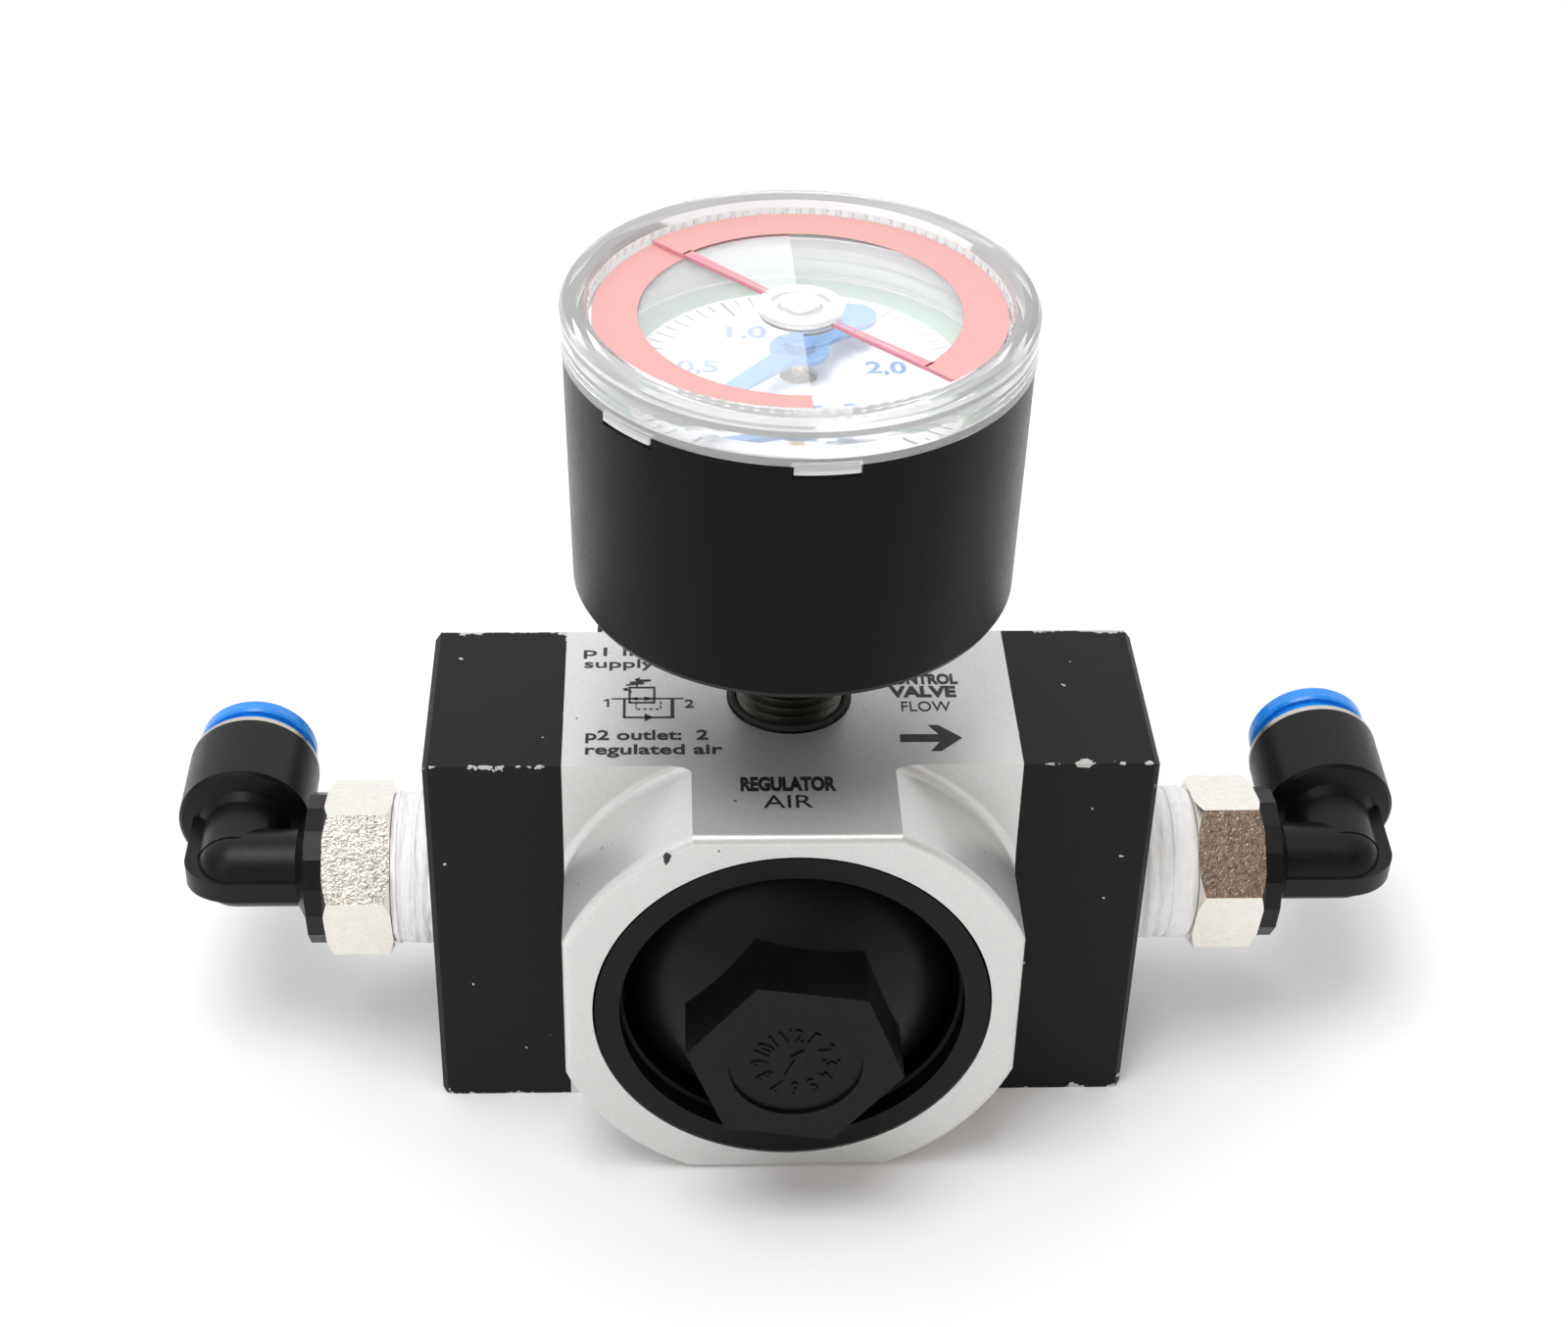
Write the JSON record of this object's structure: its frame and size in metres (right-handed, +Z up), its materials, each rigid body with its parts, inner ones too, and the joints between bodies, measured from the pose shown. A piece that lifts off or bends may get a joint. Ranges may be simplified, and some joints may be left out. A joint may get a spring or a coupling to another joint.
{
  "type": "pressure regulator with gauge",
  "caption": "Compact pneumatic pressure regulator lying on its back: square body, end plates, round gauge, setting knob and push-in elbow fittings.",
  "frame": {"origin": "centre of the flat back face that the body rests on, midway between the end plates", "axes": "+Z up through the gauge, +X along the flow from inlet to outlet, +Y along the regulating axis towards the knob"},
  "size_m": [0.1156, 0.0953, 0.0794],
  "materials": {
    "die_cast": "satin silver paint on die-cast metal",
    "black_coat": "black coat, worn at the edges",
    "black_plastic": "matt black",
    "nickel": "nickel-plated brass",
    "tape": "white thread sealing tape",
    "blue_plastic": "blue",
    "steel": "bright",
    "brass": "plain",
    "rubber": "black",
    "clear_plastic": "clear",
    "range_disc": "clear with a red arc",
    "dial_face": "white",
    "pointer_blue": "blue"
  },
  "bodies": {
    "housing": {"valve_body": "die_cast", "inlet_plate": "black_coat", "outlet_plate": "black_coat", "plate_screws": "steel", "plate_seals": "rubber", "bottom_plug": "black_plastic", "bottom_plug_seal": "rubber", "valve_seat": "brass", "return_spring": "steel", "diaphragm": "rubber", "setting_spring": "steel", "bonnet": "black_plastic", "detent_ring": "steel", "rear_port_plug": "steel", "rear_plug_seal": "rubber", "gauge_seal": "rubber", "gauge_socket": "nickel", "gauge_case": "black_plastic", "gauge_cover": "clear_plastic", "dial": "dial_face", "disc_hub_cap": "clear_plastic", "bourdon_tube": "brass", "movement_frame": "brass", "movement_screws": "steel", "hairspring": "steel", "inlet_fitting_stem": "nickel", "inlet_thread_tape": "tape", "outlet_fitting_stem": "nickel", "outlet_thread_tape": "tape"},
    "spindle": {"adjusting_spindle": "steel"},
    "knob": {"knob": "black_plastic"},
    "spring_nut": {"spring_nut": "steel"},
    "poppet": {"poppet": "brass", "poppet_seal": "rubber"},
    "diaphragm_plates": {"diaphragm_plate": "steel", "spring_plate": "steel"},
    "check_valve": {"check_valve": "rubber"},
    "sector_gear": {"sector_gear": "brass"},
    "pointer": {"pointer_shaft": "brass", "pointer": "pointer_blue"},
    "link": {"link": "brass"},
    "range_disc_low": {"range_disc_low": "range_disc"},
    "range_disc_high": {"range_disc_high": "range_disc"},
    "inlet_elbow": {"inlet_elbow": "black_plastic", "inlet_swivel_collar": "black_plastic", "inlet_swivel_seal": "rubber", "inlet_tube_seal": "rubber", "inlet_collet": "steel", "inlet_barrel_ring": "steel"},
    "inlet_release_ring": {"inlet_release_ring": "blue_plastic"},
    "outlet_elbow": {"outlet_elbow": "black_plastic", "outlet_swivel_collar": "black_plastic", "outlet_swivel_seal": "rubber", "outlet_tube_seal": "rubber", "outlet_collet": "steel", "outlet_barrel_ring": "steel"},
    "outlet_release_ring": {"outlet_release_ring": "blue_plastic"}
  },
  "joints": [
    {"name": "knob_turn", "type": "hinge", "parent": "housing", "child": "spindle", "pos_m": [0, 0.047, 0.0195], "axis": [0, -1, 0], "range_deg": [0, 1800]},
    {"name": "knob_pull", "type": "slide", "parent": "spindle", "child": "knob", "axis": [0, 1, 0], "range_m": [0, 0.0025]},
    {"name": "spring_nut_travel", "type": "slide", "parent": "housing", "child": "spring_nut", "axis": [0, -1, 0], "range_m": [0, 0.00751], "deforming": ["setting_spring"]},
    {"name": "valve_lift", "type": "slide", "parent": "housing", "child": "poppet", "axis": [0, -1, 0], "range_m": [0, 0.0015], "stiffness_N_per_m": 600, "deforming": ["return_spring", "diaphragm"]},
    {"name": "relief_lift", "type": "slide", "parent": "poppet", "child": "diaphragm_plates", "axis": [0, 1, 0], "range_m": [0, 0.0006], "stiffness_N_per_m": 300},
    {"name": "check_valve_lift", "type": "slide", "parent": "housing", "child": "check_valve", "axis": [0, -1, 0], "range_m": [0, 0.0005], "stiffness_N_per_m": 50},
    {"name": "sector_swing", "type": "hinge", "parent": "housing", "child": "sector_gear", "pos_m": [0, -0.012, 0.0639], "axis": [0, 0, 1], "range_deg": [0, 30], "stiffness_Nm_per_rad": 0.0005, "deforming": ["bourdon_tube", "hairspring"]},
    {"name": "pointer_turn", "type": "hinge", "parent": "housing", "child": "pointer", "pos_m": [0, 0, 0.0639], "axis": [0, 0, -1], "range_deg": [0, 270.1]},
    {"name": "link_travel", "type": "slide", "parent": "housing", "child": "link", "axis": [1, 0, 0], "range_m": [0, 0.0021]},
    {"name": "range_low_turn", "type": "hinge", "parent": "housing", "child": "range_disc_low", "pos_m": [0, 0, 0.0775], "axis": [0, 0, 1], "range_deg": [-135, 135]},
    {"name": "range_high_turn", "type": "hinge", "parent": "housing", "child": "range_disc_high", "pos_m": [0, 0, 0.07787], "axis": [0, 0, 1], "range_deg": [-135, 135]},
    {"name": "inlet_swivel", "type": "hinge", "parent": "housing", "child": "inlet_elbow", "pos_m": [-0.039, 0, 0.0195], "axis": [-1, 0, 0], "continuous": true},
    {"name": "inlet_release", "type": "slide", "parent": "inlet_elbow", "child": "inlet_release_ring", "axis": [0, -1, 0], "range_m": [0, 0.0013], "stiffness_N_per_m": 400},
    {"name": "outlet_swivel", "type": "hinge", "parent": "housing", "child": "outlet_elbow", "pos_m": [0.0408, 0, 0.0195], "axis": [1, 0, 0], "continuous": true},
    {"name": "outlet_release", "type": "slide", "parent": "outlet_elbow", "child": "outlet_release_ring", "axis": [0, -0.9969, -0.0785], "range_m": [0, 0.0013], "stiffness_N_per_m": 400}
  ],
  "couplings": [
    {"joint": "spring_nut_travel", "follows": "knob_turn", "m_per_rad": 0.00023873},
    {"joint": "pointer_turn", "follows": "sector_swing", "ratio": 9},
    {"joint": "link_travel", "follows": "sector_swing", "m_per_rad": 0.004}
  ]
}
